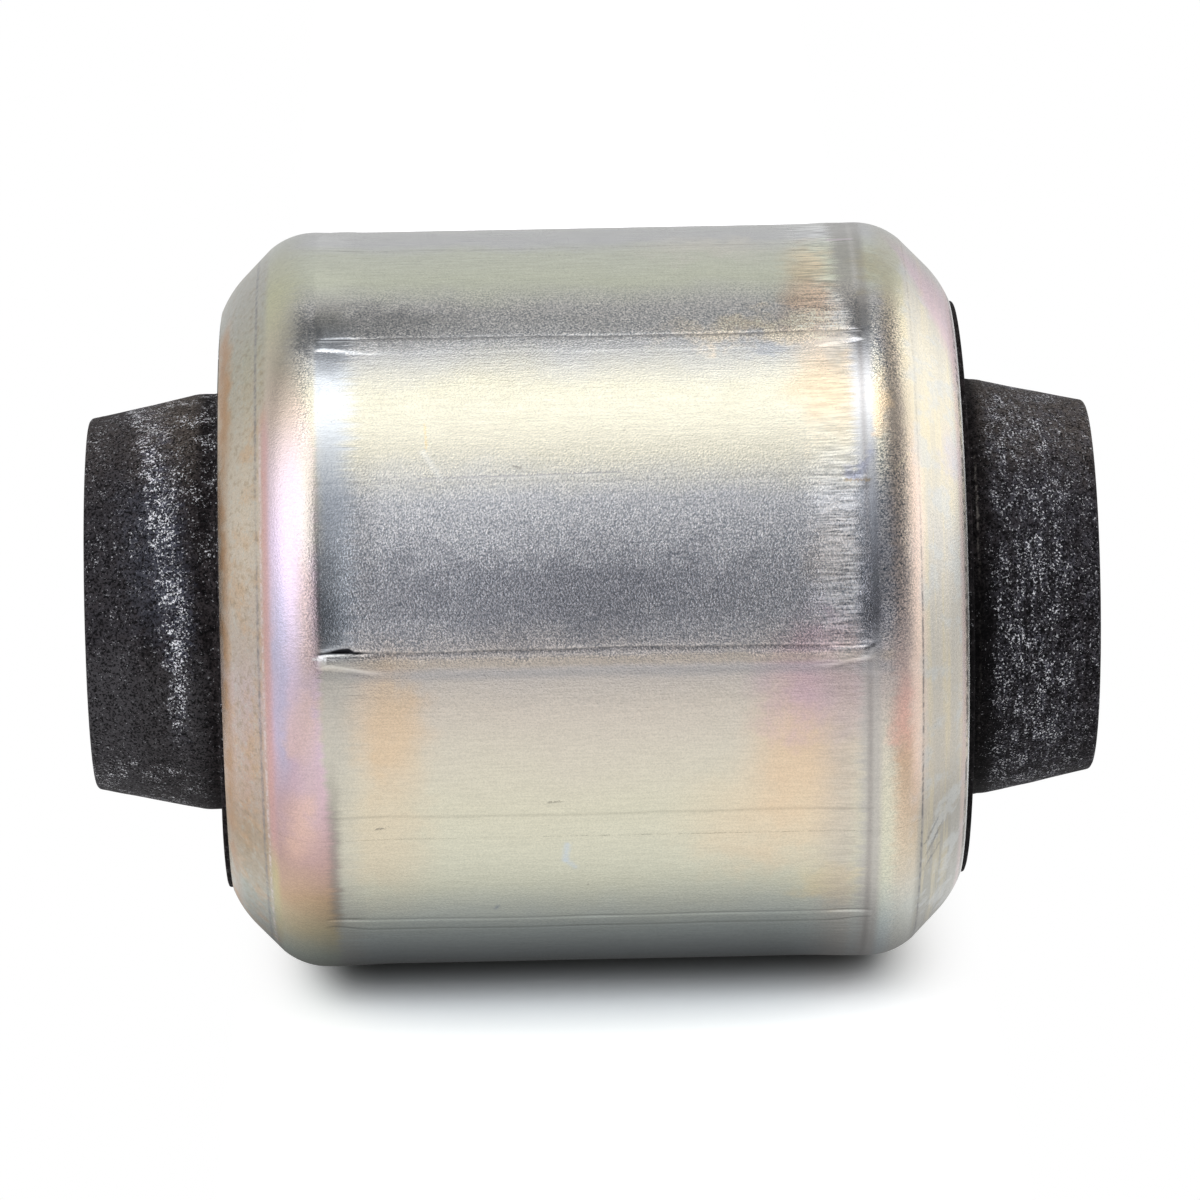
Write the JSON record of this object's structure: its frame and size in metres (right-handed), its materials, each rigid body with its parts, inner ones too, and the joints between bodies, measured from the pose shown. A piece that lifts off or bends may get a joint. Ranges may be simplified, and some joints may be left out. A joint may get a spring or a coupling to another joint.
{
  "type": "rubber metal bush",
  "caption": "Bonded pivot bush: a steel outer sleeve with rolled-in ends, a rubber body with a tapered nose at each end, and a thick inner sleeve for a through bolt.",
  "frame": {"origin": "middle of the bush, on its axis", "axes": "+Z along the axis of the bush; the two ends are alike, and the bush stands on the lower end face of its inner sleeve"},
  "size_m": [0.051, 0.051, 0.0694],
  "materials": {
    "zinc_plated_steel": "zinc plate with a yellow iridescent passivation, satin, with forming marks",
    "rubber": "matt black moulded rubber with pale dust",
    "turned_steel": "bare turned steel, lightly oiled"
  },
  "bodies": {
    "root": {"outer_sleeve": "zinc_plated_steel", "rubber_body": "rubber", "inner_sleeve": "turned_steel"}
  },
  "joints": []
}
